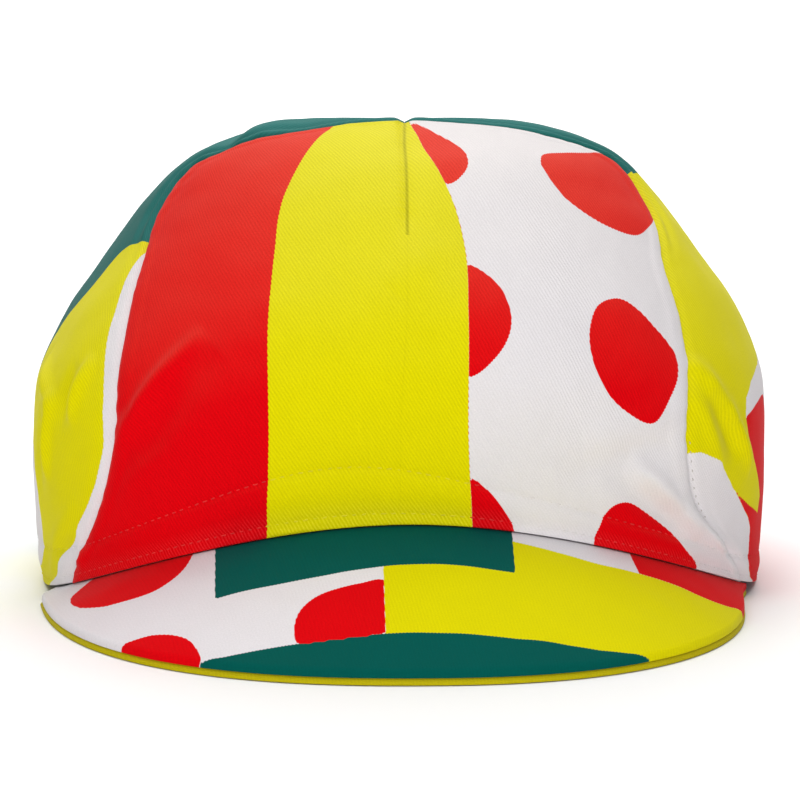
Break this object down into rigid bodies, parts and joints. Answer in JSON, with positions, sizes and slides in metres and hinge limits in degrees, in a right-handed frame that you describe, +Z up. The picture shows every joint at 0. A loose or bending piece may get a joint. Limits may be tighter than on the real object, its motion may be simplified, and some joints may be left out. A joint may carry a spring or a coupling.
{
  "type": "cycling cap",
  "caption": "Soft cotton cycling cap with a close crown, a darted front panel, side panels meeting at the back, an inner sweatband and a short turned-down peak.",
  "frame": {"origin": "centre of the overall box at floor level, with the cap standing on its rim and the front edge of its peak", "axes": "-Y towards the front of the peak, +X towards the wearer's left, +Z up through the crown"},
  "size_m": [0.1824, 0.2456, 0.116],
  "materials": {
    "front_cloth": "matt cotton twill, printed red, yellow and white with red dots",
    "left_cloth": "matt cotton twill, printed green and yellow with a white strip along the front seam",
    "right_cloth": "matt cotton twill, printed green, yellow, white and red",
    "band_cloth": "soft white cotton tape",
    "peak_cloth": "matt cotton twill over the peak's board, printed white, yellow, green and red",
    "under_cloth": "matt cotton twill, plain yellow"
  },
  "bodies": {
    "root": {"front_panel": "front_cloth", "side_panel_left": "left_cloth", "side_panel_right": "right_cloth", "sweatband": "band_cloth", "peak_top": "peak_cloth", "peak_under": "under_cloth"}
  },
  "joints": []
}
